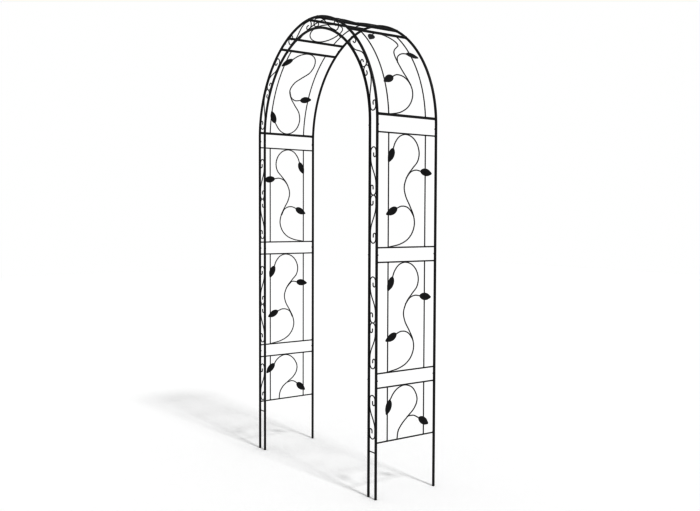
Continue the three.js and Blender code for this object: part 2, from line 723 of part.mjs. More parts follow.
// The vines differ from side to side.
const mirrored = (solid) => geometryOf(solid.mirror([1, 0, 0]));
place('right_lower_panel', geometryOf(postPanel(LOWER_RAILS, TWO_LEAF_VINE, false)), POWDER_COAT);
place('left_lower_panel', mirrored(postPanel(LOWER_RAILS, ROUND_TWO_LEAF_VINE, false)), POWDER_COAT);
place('right_middle_panel', geometryOf(postPanel(MIDDLE_RAILS, THREE_LEAF_VINE, false)), POWDER_COAT);
place('left_middle_panel', mirrored(postPanel(MIDDLE_RAILS, SHORT_BRANCH_VINE, false)), POWDER_COAT);
place('right_upper_panel', geometryOf(postPanel(UPPER_RAILS, THREE_LEAF_VINE, false)), POWDER_COAT);
place('left_upper_panel', mirrored(postPanel(UPPER_RAILS, HIGH_BRANCH_VINE, true)), POWDER_COAT);
place('right_shoulder_panel', geometryOf(shoulderPanel(SHALLOW_VINE)), POWDER_COAT);
place('left_shoulder_panel', mirrored(shoulderPanel(LOOPED_VINE)), POWDER_COAT);
place('crown_panel', geometryOf(crownPanel()), POWDER_COAT);

export default arch;
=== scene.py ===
"""Steel trellis arch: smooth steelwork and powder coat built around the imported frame, in metres.

+X is to the right across the passage, -Y is the side with the double hoop, +Z is up.
"""
import json
import math
import random

import bpy
from mathutils import Matrix, Vector


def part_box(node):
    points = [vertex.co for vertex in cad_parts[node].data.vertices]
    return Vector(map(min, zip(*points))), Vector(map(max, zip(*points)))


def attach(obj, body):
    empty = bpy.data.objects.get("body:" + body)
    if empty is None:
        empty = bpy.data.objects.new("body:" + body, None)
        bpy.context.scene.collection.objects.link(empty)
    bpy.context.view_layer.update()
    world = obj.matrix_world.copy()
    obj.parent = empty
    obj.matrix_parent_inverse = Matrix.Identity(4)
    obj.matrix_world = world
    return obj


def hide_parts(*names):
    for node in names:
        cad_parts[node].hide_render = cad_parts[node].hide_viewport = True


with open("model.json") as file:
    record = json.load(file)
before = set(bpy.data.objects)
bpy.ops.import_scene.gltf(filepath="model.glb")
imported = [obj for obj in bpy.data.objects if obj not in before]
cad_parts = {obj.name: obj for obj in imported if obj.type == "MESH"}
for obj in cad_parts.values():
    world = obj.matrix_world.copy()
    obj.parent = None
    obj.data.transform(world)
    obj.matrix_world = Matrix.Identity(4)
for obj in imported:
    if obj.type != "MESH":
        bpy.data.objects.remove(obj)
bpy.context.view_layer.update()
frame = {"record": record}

# ---------------------------------------------------------------- driving dimensions
# Stock.
TUBE_RADIUS = 0.006
TUBE_WALL = 0.0009
HEAVY_RAIL_RADIUS = 0.006
LIGHT_RAIL_RADIUS = 0.003
ROD_RADIUS = 0.0026
VINE_RADIUS = 0.0025
SCROLL_RADIUS = 0.0024
LEAF_LENGTH = 0.071
LEAF_WIDTH = 0.036
LEAF_THICKNESS = 0.0018

# Arch: two side arcs and a tighter top arc, all tangent to each other and to the posts.
SPRING_GAP = 0.054
SIDE_ARC_ANGLE = math.radians(75)
SIDE_ARC_OVERREACH = 0.029
SPRING_RAIL_RISE = 0.031
SHOULDER_RAIL_ANGLE = math.radians(53.5)
HAUNCH_RAIL_ANGLE = math.radians(62.3)
RIDGE_RAIL_OFFSET = 0.041

# Joints.
SPIGOT_LENGTH = 0.030
SPIGOT_CLEARANCE = 0.00035
FOOT_PLUG = 0.004
SCREW_SHANK_RADIUS = 0.002
SCREW_SHANK_LENGTH = 0.006
SCREW_HEAD_RADIUS = 0.004
SCREW_HEAD_HEIGHT = 0.0024
SEAT_GAP = 0.00009

# Infill layout.
ROD_INSET = 0.069
RUNG_HEIGHT = 0.225
SCROLL_FOOT_MARGIN = 0.021
SCROLL_HEAD_MARGIN = 0.070
SHORT_SCROLL_FOOT_MARGIN = 0.015
SHORT_SCROLL_HEAD_MARGIN = 0.038
SHOULDER_SCROLL_HEAD_MARGIN = 0.080
SHOULDER_SCROLL_SPLIT = 0.54
CROWN_SCROLL_FOOT_MARGIN = 0.055
CROWN_SCROLL_HEAD_MARGIN = 0.014
RING_HALF_WIDTH = 0.087
WELD_BITE = 0.0007

# Smoothness: sides round a bar, the longest step along one, and the rounding of its ends.
TUBE_SIDES = 24
RAIL_SIDES = 20
WIRE_SIDES = 12
BEAD_SIDES = 8
WIRE_STEP = 0.0035
CURL_STEP = 0.00245
SWEEP_STEP = 0.006
LONG_STEP = 0.012
ARC_STEP = 0.010
END_BEVEL = 0.0008
END_STEPS = 3

# ---------------------------------------------------------------- places read from the frame
FEET = {mount["name"]: Vector(mount["pos_m"]) for mount in frame["record"]["mounts"]}
HALF_SPAN = FEET["right_front_outer_foot"].x
FRONT_Y = FEET["right_front_outer_foot"].y
BACK_Y = FEET["right_back_foot"].y
DEPTH = BACK_Y - FRONT_Y
LADDER_WIDTH = HALF_SPAN - FEET["right_front_inner_foot"].x


def panel_rails(node):
    """Heights of the two rails of a panel between the posts."""
    low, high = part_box(node)
    return [low.z + LIGHT_RAIL_RADIUS, high.z - LIGHT_RAIL_RADIUS]


LOWER_RAILS = panel_rails("right_lower_panel")
MIDDLE_RAILS = panel_rails("right_middle_panel")
UPPER_RAILS = panel_rails("right_upper_panel")
SPRING_HEIGHT = UPPER_RAILS[1] + SPRING_GAP

SIDE_RADIUS = HALF_SPAN + SIDE_ARC_OVERREACH
CENTRE_SHIFT = SIDE_ARC_OVERREACH / math.cos(SIDE_ARC_ANGLE)
TOP_RADIUS = SIDE_RADIUS - CENTRE_SHIFT
SIDE_ARC_LENGTH = SIDE_RADIUS * SIDE_ARC_ANGLE
ARCH_HALF = SIDE_ARC_LENGTH + TOP_RADIUS * (math.pi / 2 - SIDE_ARC_ANGLE)

# A place on a hoop is its travel: the length along the outer hoop from the spring line, negative
# down the post and ARCH_HALF at the crown.
FOOT_TRAVEL = -SPRING_HEIGHT
SHOULDER_RAILS = [SPRING_RAIL_RISE, SHOULDER_RAIL_ANGLE * SIDE_RADIUS]
HAUNCH_RAIL = HAUNCH_RAIL_ANGLE * SIDE_RADIUS
RIDGE_RAIL = ARCH_HALF - RIDGE_RAIL_OFFSET


def screw_travel(number):
    """Travel of one of the four joints, from where the back hoop's screw stands."""
    low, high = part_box(f"back_right_screw_{number}")
    centre = (low + high) / 2
    if centre.z < SPRING_HEIGHT:
        return centre.z - SPRING_HEIGHT
    angle = math.atan2(centre.z - SPRING_HEIGHT, centre.x - HALF_SPAN + SIDE_RADIUS)
    return angle * SIDE_RADIUS


SCREW_TRAVELS = [screw_travel(number) for number in (1, 2, 3, 4)]
SEAM_TRAVELS = [travel - SPIGOT_LENGTH / 2 for travel in SCREW_TRAVELS]
CROWN_SEAM = SEAM_TRAVELS[3]

Y_AXIS = Vector((0, 1, 0))


def hoop_frame(travel, inset, y):
    """Centre, direction of growing travel, and inward normal of a hoop at a travel."""
    beyond = travel > ARCH_HALF
    own = 2 * ARCH_HALF - travel if beyond else travel
    side = -1 if beyond else 1
    if own <= 0:
        angle, x, z = 0.0, HALF_SPAN - inset, SPRING_HEIGHT + own
    elif own <= SIDE_ARC_LENGTH:
        angle, radius = own / SIDE_RADIUS, SIDE_RADIUS - inset
        x = HALF_SPAN - SIDE_RADIUS + radius * math.cos(angle)
        z = SPRING_HEIGHT + radius * math.sin(angle)
    else:
        angle = SIDE_ARC_ANGLE + (own - SIDE_ARC_LENGTH) / TOP_RADIUS
        radius = TOP_RADIUS - inset
        rise = CENTRE_SHIFT * math.sin(SIDE_ARC_ANGLE)
        x = radius * math.cos(angle)
        z = SPRING_HEIGHT + rise + radius * math.sin(angle)
    centre = Vector((side * x, y, z))
    along = Vector((-math.sin(angle), 0, side * math.cos(angle)))
    inward = Vector((-side * math.cos(angle), 0, -math.sin(angle)))
    return centre, along, inward


# ---------------------------------------------------------------- mesh making
class Shape:
    """Vertices and faces gathered for one piece."""

    def __init__(self):
        self.verts = []
        self.faces = []

    def skin(self, rows, poles=None):
        """A skin over rows of points that are each a loop.

        poles are the points that shut it at both ends. Without them the last row joins the first.
        """
        start, sides, count = len(self.verts), len(rows[0]), len(rows)
        for row in rows:
            self.verts += row
        for k in range(count - 1 if poles else count):
            here = start + k * sides
            there = start + ((k + 1) % count) * sides
            for i in range(sides):
                j = (i + 1) % sides
                self.faces.append((here + i, here + j, there + j, there + i))
        if poles:
            last = start + (count - 1) * sides
            first_pole, last_pole = len(self.verts), len(self.verts) + 1
            self.verts += [pole.copy() for pole in poles]
            for i in range(sides):
                j = (i + 1) % sides
                self.faces.append((first_pole, start + j, start + i))
                self.faces.append((last_pole, last + i, last + j))

    def bar(self, rings, sides, loop=False):
        """A closed round bar. Each ring is (centre, across, over, radius); a loop joins its ends."""
        turns = [2 * math.pi * i / sides for i in range(sides)]
        rows = [[centre + radius * (math.cos(turn) * across + math.sin(turn) * over) for turn in turns]
                for centre, across, over, radius in rings]
        self.skin(rows, None if loop else (rings[0][0], rings[-1][0]))

    def mirrored(self):
        """The same piece on the left side."""
        other = Shape()
        other.verts = [Vector((-v.x, v.y, v.z)) for v in self.verts]
        other.faces = [tuple(reversed(face)) for face in self.faces]
        return other

    def add(self, other):
        """Takes in another shape's faces."""
        start = len(self.verts)
        self.verts += other.verts
        self.faces += [tuple(start + i for i in face) for face in other.faces]

    def add_both_ways(self, half):
        """Takes in a shape of the right side and its mirror image."""
        self.add(half)
        self.add(half.mirrored())


def end_rounding(radius):
    """Radii and setbacks from the very end of a bar to its full width."""
    turns = [math.pi / 2 * k / END_STEPS for k in range(END_STEPS + 1)]
    return [(radius - END_BEVEL * (1 - math.sin(t)), END_BEVEL * (1 - math.cos(t))) for t in turns]


def bent_bar(shape, points, overs, radius, sides):
    """A round bar through points, with rounded ends. overs are directions square to its run."""
    last = len(points) - 1
    rings = []
    for i, (point, over) in enumerate(zip(points, overs)):
        along = (points[min(i + 1, last)] - points[max(i - 1, 0)]).normalized()
        across = over.cross(along).normalized()
        rings.append((point, across, along.cross(across), radius))
    ends = end_rounding(radius)
    first, final = rings[0], rings[-1]
    out_first = (points[0] - points[1]).normalized()
    out_final = (points[-1] - points[-2]).normalized()
    head = [(first[0] - out_first * back, first[1], first[2], r) for r, back in ends]
    tail = [(final[0] - out_final * back, final[1], final[2], r) for r, back in reversed(ends)]
    shape.bar(head + rings[1:-1] + tail, sides)


def straight_bar(shape, start, end, over, radius, sides):
    """A round bar from start to end. over is square to it."""
    middle = (start + end) / 2
    bent_bar(shape, [start, middle, end], [over] * 3, radius, sides)


def row_centres(rows):
    """The middles of the first and last rows, to shut a skin with."""
    return [sum(row, Vector()) / len(row) for row in (rows[0], rows[-1])]


def spaced(start, end, step):
    """Even values from start to end, no further apart than step."""
    count = max(1, math.ceil(abs(end - start) / step))
    return [start + (end - start) * k / count for k in range(count + 1)]


# ---------------------------------------------------------------- materials
# The noises in a coat, each as (scale, detail, roughness): cloudy tone, orange peel and fine grain.
CLOUD_NOISE = (22, 3, 0.5)
PEEL_NOISE = (320, 1, 0.5)
SPECK_NOISE = (850, 2, 0.6)
CLOUD_RANGE = (0.35, 0.68)
SPECK_RANGE = (0.3, 0.7)


def noise(tree, place, scale, detail, roughness):
    """A noise from 0 to 1 that stays fixed to the piece."""
    node = tree.nodes.new("ShaderNodeTexNoise")
    node.inputs["Scale"].default_value = scale
    node.inputs["Detail"].default_value = detail
    node.inputs["Roughness"].default_value = roughness
    tree.links.new(place, node.inputs["Vector"])
    return node.outputs["Fac"]


def ranged(tree, value, low, high, to_low, to_high):
    """A value stretched from one range to another."""
    node = tree.nodes.new("ShaderNodeMapRange")
    for name, number in (("From Min", low), ("From Max", high), ("To Min", to_low), ("To Max", to_high)):
        node.inputs[name].default_value = number
    tree.links.new(value, node.inputs["Value"])
    return node.outputs["Result"]


def two_tone(tree, value, dark, light):
    """A colour between dark and light, by a cloudy value."""
    node = tree.nodes.new("ShaderNodeValToRGB")
    for stop, position, colour in zip(node.color_ramp.elements, CLOUD_RANGE, (dark, light)):
        stop.position = position
        stop.color = (*colour, 1)
    tree.links.new(value, node.inputs["Fac"])
    return node.outputs["Color"]


def bump(tree, height, distance, under=None):
    """The normal of a relief up to distance high, on top of another one if given."""
    node = tree.nodes.new("ShaderNodeBump")
    node.inputs["Distance"].default_value = distance
    node.inputs["Strength"].default_value = 1.0
    tree.links.new(height, node.inputs["Height"])
    if under is not None:
        tree.links.new(under, node.inputs["Normal"])
    return node.outputs["Normal"]


def finish(name, dark, light, gloss, peel, grain, metallic=0.0):
    """A coat whose tone, gloss and surface vary from place to place, as sprayed powder does.

    gloss is the lowest and highest roughness, peel and grain are the heights of the slow orange
    peel and of the fine grain, in metres.
    """
    material = bpy.data.materials.new(name)
    material.use_nodes = True
    tree = material.node_tree
    shader = tree.nodes["Principled BSDF"]
    place = tree.nodes.new("ShaderNodeTexCoord").outputs["Object"]
    cloud = noise(tree, place, *CLOUD_NOISE)
    speck = noise(tree, place, *SPECK_NOISE)
    orange_peel = noise(tree, place, *PEEL_NOISE)
    shader.inputs["Metallic"].default_value = metallic
    tree.links.new(two_tone(tree, cloud, dark, light), shader.inputs["Base Color"])
    tree.links.new(ranged(tree, speck, *SPECK_RANGE, *gloss), shader.inputs["Roughness"])
    slow = bump(tree, orange_peel, peel)
    tree.links.new(bump(tree, speck, grain, slow), shader.inputs["Normal"])
    return material


COAT = finish("satin_powder_coat", (0.010, 0.010, 0.011), (0.018, 0.018, 0.019),
              (0.36, 0.50), 0.00012, 0.00002)
WIRE_COAT = finish("wire_powder_coat", (0.011, 0.011, 0.012), (0.020, 0.020, 0.021),
                   (0.34, 0.48), 0.00010, 0.00002)
LEAF_COAT = finish("leaf_powder_coat", (0.009, 0.009, 0.0105), (0.018, 0.018, 0.020),
                   (0.38, 0.55), 0.00018, 0.00004)
WELD_COAT = finish("weld_powder_coat", (0.011, 0.011, 0.012), (0.024, 0.024, 0.025),
                   (0.45, 0.65), 0.00035, 0.00006)
SCREW_FINISH = finish("black_passivated_steel", (0.020, 0.020, 0.023), (0.060, 0.060, 0.064),
                      (0.28, 0.45), 0.00004, 0.00002, metallic=0.85)


# ---------------------------------------------------------------- pieces
def make_piece(name, shape, coat, node=None):
    """Turns a shape into an object that rides with the frame, and stands for a node if one is named."""
    mesh = bpy.data.meshes.new(name)
    mesh.from_pydata(shape.verts, [], shape.faces)
    mesh.materials.append(coat)
    mesh.polygons.foreach_set("use_smooth", [True] * len(shape.faces))
    mesh.update()
    piece = bpy.data.objects.new(name, mesh)
    bpy.context.scene.collection.objects.link(piece)
    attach(piece, "root")
    if node:
        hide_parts(node)


def both_sides(name, shape, coat, replaces=True):
    """A right-hand piece and its mirror image. name has a gap for the side, and may end in .detail."""
    for side, own in (("right", shape), ("left", shape.mirrored())):
        full = name.format(side=side)
        node = full.split(".")[0] if replaces else None
        make_piece(full, own, coat, node)


# ---------------------------------------------------------------- hoop tubes
BORE_RADIUS = TUBE_RADIUS - TUBE_WALL
SPIGOT_RADIUS = BORE_RADIUS - SPIGOT_CLEARANCE
SPIGOT_BORE = SPIGOT_RADIUS - TUBE_WALL
RIM = 0.0005
RIM_EASE = RIM * 0.3
SPIGOT_RIM = RIM * 0.6
SWAGE_LENGTH = 0.0012
# The rounded swage where a tube narrows, each as (distance left to the spigot, depth below the tube).
SWAGE_STEPS = ((0.0006, 0.00015), (0.00018, 0.0006))


def along_hoop(start, end, radius):
    """(travel, radius) stations of one plain stretch: close together on the arch only."""
    bent = spaced(max(start, 0.0), end, ARC_STEP) if end > 0 else []
    return [(stop, radius) for stop in sorted({start, *bent, end})]


def skin_stations(start, end, spigot):
    """Outside of a tube: a rounded mouth, the plain tube, and the swaged spigot if it has one."""
    stations = [(start, TUBE_RADIUS - RIM), (start + RIM_EASE, TUBE_RADIUS - RIM_EASE)]
    if not spigot:
        stations += along_hoop(start + RIM, end - RIM, TUBE_RADIUS)
        return stations + [(end - RIM_EASE, TUBE_RADIUS - RIM_EASE), (end, TUBE_RADIUS - RIM)]
    stations += along_hoop(start + RIM, end - SWAGE_LENGTH, TUBE_RADIUS)
    stations += [(end - back, TUBE_RADIUS - depth) for back, depth in SWAGE_STEPS]
    tip = end + SPIGOT_LENGTH
    stations += along_hoop(end, tip - RIM, SPIGOT_RADIUS)
    return stations + [(tip, SPIGOT_RADIUS - SPIGOT_RIM)]


def bore_stations(start, end, spigot):
    """Inside of a tube, from its head back to its mouth."""
    stations = []
    if spigot:
        stations += list(reversed(along_hoop(end, end + SPIGOT_LENGTH, SPIGOT_BORE)))
        end -= SWAGE_LENGTH
    return stations + list(reversed(along_hoop(start, end, BORE_RADIUS)))


def tube_rings(stations, inset, y):
    """Rings round a hoop's line at (travel, radius) stations."""
    rings = []
    for travel, radius in stations:
        centre, along, inward = hoop_frame(travel, inset, y)
        rings.append((centre, inward, along.cross(inward), radius))
    return rings


def tube(start, end, inset, y, spigot=True, foot=False):
    """One length of tube from travel to travel. A foot is shut at its end."""
    shape = Shape()
    outside = skin_stations(start, end, spigot)
    inside = bore_stations(start + (FOOT_PLUG if foot else 0.0), end, spigot)
    shape.bar(tube_rings(outside + inside, inset, y), TUBE_SIDES, loop=not foot)
    return shape


# ---------------------------------------------------------------- weld beads
beads = random.Random(11)

# A fillet round a bar's end: its thickness, how far it spreads and stands off in shares of that,
# and the swells round it.
FILLET = 0.0013
ROD_FILLET = 0.0010
FILLET_SPREAD = 0.35
FILLET_RISE = 0.3
FILLET_STEPS = 26
FILLET_SWELLS = 9
FILLET_SWELL_HEIGHT = 0.10
FILLET_UNEVENNESS = 0.06

# A tack along a joint: its least width in shares of its full one, and its ripples.
TACK_STEPS = 10
TACK_END_WIDTH = 0.2
TACK_RIPPLE = 0.07
TACK_UNEVENNESS = 0.04

# The tack where two wires cross, in radii of the wire.
CROSSING_RISE = 0.62
CROSSING_LENGTH = 4.2
CROSSING_RADIUS = 0.72


def tee_bead(shape, centre, run, cross, radius, into_radius, bead=FILLET):
    """A fillet round the end of a bar that meets the side of one at least as thick.

    centre is on the other bar's axis, run points from it along the bar that ends, and cross is the
    other bar's own direction.
    """
    side = run.cross(cross).normalized()
    wobble = beads.uniform(0, 2 * math.pi)
    rings = []
    ring_radius = radius + bead * FILLET_SPREAD
    for k in range(FILLET_STEPS):
        turn = 2 * math.pi * k / FILLET_STEPS
        flank = ring_radius * math.sin(turn)
        depth = math.sqrt(max(into_radius ** 2 - flank ** 2, 0.0)) + bead * FILLET_RISE
        out = math.cos(turn) * cross + math.sin(turn) * side
        point = centre + ring_radius * out + depth * run
        swell = FILLET_SWELL_HEIGHT * math.sin(FILLET_SWELLS * turn + wobble)
        uneven = beads.uniform(-FILLET_UNEVENNESS, FILLET_UNEVENNESS)
        rings.append((point, run, out, bead * (1 + swell + uneven)))
    shape.bar(rings, BEAD_SIDES, loop=True)


def tack_bead(shape, centre, along, over, length, radius):
    """A short lozenge of weld laid along a joint, with the ripples of a moving torch."""
    across = over.cross(along).normalized()
    rings = []
    for k in range(TACK_STEPS + 1):
        share = k / TACK_STEPS
        taper = max(math.sqrt(1 - (2 * share - 1) ** 2), TACK_END_WIDTH)
        ripple = 1 + TACK_RIPPLE * (-1) ** k + beads.uniform(-TACK_UNEVENNESS, TACK_UNEVENNESS)
        place = centre + along * (share - 0.5) * length
        rings.append((place, across, over, radius * taper * ripple))
    shape.bar(rings, BEAD_SIDES)


def crossing_beads(shape, centre, along, normal, wire):
    """The weld of two wires that cross, on both faces of the panel."""
    for face in (-1, 1):
        place = centre + normal * face * wire * CROSSING_RISE
        tack_bead(shape, place, along, normal, wire * CROSSING_LENGTH, wire * CROSSING_RADIUS)


# ---------------------------------------------------------------- ladder scrollwork
# An S-scroll bears on both front tubes and each end turns in to a small curl. It is drawn with x
# as the distance in from the outer tube's axis and y as the length along the hoop.
CURL_RADIUS = 0.0095
CURL_DEPTH = 0.038
CURL_TAIL = 0.011
HOOK_SHANK = 0.050
SWEEP_PULL = 0.55
SAME_PLACE = 0.00001
CONTACT_START = CURL_DEPTH * 0.6
SCROLL_TACK_OFFSET = 0.0015
SCROLL_TACK_LENGTH = 0.011
SCROLL_TACK_RADIUS = 0.0014


def arc(x, y, radius, start, end):
    """Plane points on an arc round (x, y)."""
    turns = spaced(start, end, CURL_STEP / radius)
    return [(x + radius * math.cos(t), y + radius * math.sin(t)) for t in turns]


def line(start, end):
    """Plane points on a straight stretch."""
    length = math.dist(start, end)
    shares = [s / length for s in spaced(0, length, LONG_STEP)]
    return [(start[0] + (end[0] - start[0]) * s, start[1] + (end[1] - start[1]) * s) for s in shares]


def bezier(a, b, c, d):
    """Plane points on the sweep from a to d that b and c pull."""
    shares = spaced(0, 1, SWEEP_STEP / math.dist(a, d))
    points = []
    for s in shares:
        weights = ((1 - s) ** 3, 3 * s * (1 - s) ** 2, 3 * s * s * (1 - s), s ** 3)
        points.append(tuple(sum(w * p[k] for w, p in zip(weights, (a, b, c, d))) for k in (0, 1)))
    return points


def distinct(points):
    """The same points without repeats of a joint between two stretches."""
    kept = [points[0]]
    for point in points[1:]:
        if math.dist(point, kept[-1]) > SAME_PLACE:
            kept.append(point)
    return kept


def scroll_path(length):
    """The S of a scroll, from the tail of its head curl to the tail of its foot curl."""
    outer = TUBE_RADIUS + SCROLL_RADIUS
    inner = LADDER_WIDTH - TUBE_RADIUS - SCROLL_RADIUS + WELD_BITE
    hook = (inner - outer) / 2
    middle = (inner + outer) / 2
    curl_outer = outer + CURL_RADIUS
    curl_inner = inner - CURL_RADIUS
    head = length - CURL_DEPTH
    path = line((curl_inner - CURL_RADIUS, head + CURL_TAIL), (curl_inner - CURL_RADIUS, head))
    path += arc(curl_inner, head, CURL_RADIUS, math.pi, 2 * math.pi)
    path += line((inner, head), (inner, length - hook))
    path += arc(middle, length - hook, hook, 0, math.pi)
    path += line((outer, length - hook), (outer, length - HOOK_SHANK))
    path += bezier((outer, length - HOOK_SHANK), (outer, length * SWEEP_PULL),
                   (inner, length * (1 - SWEEP_PULL)), (inner, HOOK_SHANK))
    path += line((inner, HOOK_SHANK), (inner, hook))
    path += arc(middle, hook, hook, 0, -math.pi)
    path += line((outer, hook), (outer, CURL_DEPTH))
    path += arc(curl_outer, CURL_DEPTH, CURL_RADIUS, math.pi, 0)
    tail_x = curl_outer + CURL_RADIUS
    path += line((tail_x, CURL_DEPTH), (tail_x, CURL_DEPTH - CURL_TAIL))
    return distinct(path)


def scroll(shape, welds, start, end, rising):
    """A rising scroll leans from the inner tube at its foot to the outer one at its head."""
    length = end - start

    def place(x, y):
        travel = start + y if rising else end - y
        return hoop_frame(travel, x, FRONT_Y)

    points = [place(x, y)[0] for x, y in scroll_path(length)]
    bent_bar(shape, points, [Y_AXIS] * len(points), SCROLL_RADIUS, WIRE_SIDES)
    inner_contact = LADDER_WIDTH - TUBE_RADIUS + WELD_BITE / 2
    for x, low, high in ((TUBE_RADIUS, length - HOOK_SHANK, length - CONTACT_START),
                         (inner_contact, CONTACT_START, HOOK_SHANK)):
        centre, along, _ = place(x, (low + high) / 2)
        for face in (-1, 1):
            groove = centre + Y_AXIS * face * SCROLL_TACK_OFFSET
            tack_bead(welds, groove, along, Y_AXIS, SCROLL_TACK_LENGTH, SCROLL_TACK_RADIUS)


def scroll_pair(shape, welds, start, middle, end):
    """A rising scroll below and a falling one above it, back to back."""
    scroll(shape, welds, start, middle, True)
    scroll(shape, welds, middle, end, False)
    centre, _, inward = hoop_frame(middle, LADDER_WIDTH / 2, FRONT_Y)
    crossing_beads(welds, centre, inward, Y_AXIS, SCROLL_RADIUS)


def height_travels(rails, foot_margin, head_margin):
    """Travels where the scrollwork beside a panel starts and ends."""
    return rails[0] + foot_margin - SPRING_HEIGHT, rails[1] - head_margin - SPRING_HEIGHT


def lower_work(shape, welds):
    """A falling scroll on the lower posts, with the short rung under it."""
    start, end = height_travels(LOWER_RAILS, SHORT_SCROLL_FOOT_MARGIN, SHORT_SCROLL_HEAD_MARGIN)
    scroll(shape, welds, start, end, False)
    travel = RUNG_HEIGHT - SPRING_HEIGHT
    outer, along, inward = hoop_frame(travel, 0, FRONT_Y)
    inner = outer + inward * LADDER_WIDTH
    edge = inward * (TUBE_RADIUS - WELD_BITE)
    straight_bar(shape, outer + edge, inner - edge, Y_AXIS, SCROLL_RADIUS, WIRE_SIDES)
    tee_bead(welds, outer, inward, along, SCROLL_RADIUS, TUBE_RADIUS)
    tee_bead(welds, inner, -inward, along, SCROLL_RADIUS, TUBE_RADIUS)


def panel_work(rails):
    """The maker of the two scrolls beside a straight panel."""
    def work(shape, welds):
        start, end = height_travels(rails, SCROLL_FOOT_MARGIN, SCROLL_HEAD_MARGIN)
        scroll_pair(shape, welds, start, (start + end) / 2, end)
    return work


def shoulder_work(shape, welds):
    """The two scrolls beside a shoulder panel."""
    start = SHOULDER_RAILS[0] + SCROLL_FOOT_MARGIN
    end = CROWN_SEAM - SHOULDER_SCROLL_HEAD_MARGIN
    scroll_pair(shape, welds, start, start + (end - start) * SHOULDER_SCROLL_SPLIT, end)


def crown_work(shape, welds):
    """Two rising scrolls that meet at the crown."""
    start = CROWN_SEAM + CROWN_SCROLL_FOOT_MARGIN
    half, half_welds = Shape(), Shape()
    scroll(half, half_welds, start, ARCH_HALF - CROWN_SCROLL_HEAD_MARGIN, True)
    shape.add_both_ways(half)
    welds.add_both_ways(half_welds)


# ---------------------------------------------------------------- hoops, section by section
HOOPS = {
    "front_outer": (0.0, FRONT_Y),
    "front_inner": (LADDER_WIDTH, FRONT_Y),
    "back": (0.0, BACK_Y),
}
SECTIONS = {
    "lower_post": (FOOT_TRAVEL, SEAM_TRAVELS[0], lower_work),
    "middle_post": (SEAM_TRAVELS[0], SEAM_TRAVELS[1], panel_work(MIDDLE_RAILS)),
    "upper_post": (SEAM_TRAVELS[1], SEAM_TRAVELS[2], panel_work(UPPER_RAILS)),
    "shoulder_tube": (SEAM_TRAVELS[2], SEAM_TRAVELS[3], shoulder_work),
}


def make_side_sections():
    """The posts and shoulder tubes, with the scrollwork on those of the inner hoop."""
    for hoop, (inset, y) in HOOPS.items():
        for name, (start, end, work) in SECTIONS.items():
            node = f"{hoop}_{{side}}_{name}"
            shape = tube(start, end, inset, y, foot=name == "lower_post")
            both_sides(f"{node}.tube", shape, COAT)
            if hoop == "front_inner":
                scrolls, welds = Shape(), Shape()
                work(scrolls, welds)
                both_sides(f"{node}.scrollwork", scrolls, WIRE_COAT, False)
                both_sides(f"{node}.welds", welds, WELD_COAT, False)


def make_crown_sections():
    """The crown tubes, with the scrollwork on that of the inner hoop."""
    for hoop, (inset, y) in HOOPS.items():
        node = f"{hoop}_crown_tube"
        shape = tube(CROWN_SEAM, 2 * ARCH_HALF - CROWN_SEAM, inset, y, spigot=False)
        make_piece(f"{node}.tube", shape, COAT, node)
        if hoop == "front_inner":
            scrolls, welds = Shape(), Shape()
            crown_work(scrolls, welds)
            make_piece(f"{node}.scrollwork", scrolls, WIRE_COAT)
            make_piece(f"{node}.welds", welds, WELD_COAT)


# ---------------------------------------------------------------- joint screws
SCREW_SIDES = 40
SHANK_TIP_RADIUS = SCREW_SHANK_RADIUS * 0.6
SHANK_TAPER_START = SCREW_SHANK_LENGTH * 0.94
HEAD_EDGE = 0.0003
HEAD_SEAT = 0.0001
DOME_SHARES = (0.97, 0.92, 0.85, 0.76, 0.66, 0.56, 0.46, 0.36, 0.27, 0.18, 0.10, 0.03)
DOME_POWER = 4

# The driver recess: half the length and width of its arms at the top, how far their ends and walls
# slope in, and its depth.
RECESS_REACH = 0.0022
RECESS_MOUTH = 0.00072
RECESS_END_SLOPE = 0.0007
RECESS_WALL_SLOPE = 0.000384
RECESS_DEPTH = 0.0013


def recess(x, y, height):
    """Height of the head's top, sunk where the cross-shaped driver recess is."""
    reach = max(abs(x), abs(y))
    off_arm = min(abs(x), abs(y))
    inside = min(1.0, max(0.0, (RECESS_REACH - reach) / RECESS_END_SLOPE))
    wall = min(1.0, max(0.0, (RECESS_MOUTH - off_arm) / RECESS_WALL_SLOPE))
    return height - RECESS_DEPTH * inside * wall


def make_screw(name, seat, out, across):
    """A pan-head screw whose head stands on the tube at seat and points out."""
    over = out.cross(across).normalized()
    rings = [(SHANK_TIP_RADIUS, -SCREW_SHANK_LENGTH), (SCREW_SHANK_RADIUS, -SHANK_TAPER_START),
             (SCREW_SHANK_RADIUS, -HEAD_SEAT), (SCREW_HEAD_RADIUS - HEAD_EDGE, 0.0),
             (SCREW_HEAD_RADIUS, HEAD_EDGE)]
    for share in DOME_SHARES:
        rise = math.sqrt(1 - share ** DOME_POWER)
        rings.append((SCREW_HEAD_RADIUS * share, SCREW_HEAD_HEIGHT * rise))
    rows = []
    for radius, height in rings:
        row = []
        for i in range(SCREW_SIDES):
            turn = 2 * math.pi * i / SCREW_SIDES
            x, y = radius * math.cos(turn), radius * math.sin(turn)
            lift = recess(x, y, height) if height > SCREW_HEAD_HEIGHT / 2 else height
            row.append(seat + x * across + y * over + lift * out)
        rows.append(row)
    shape = Shape()
    shape.skin(rows, row_centres(rows))
    make_piece(f"{name}.pan_head", shape, SCREW_FINISH, name)


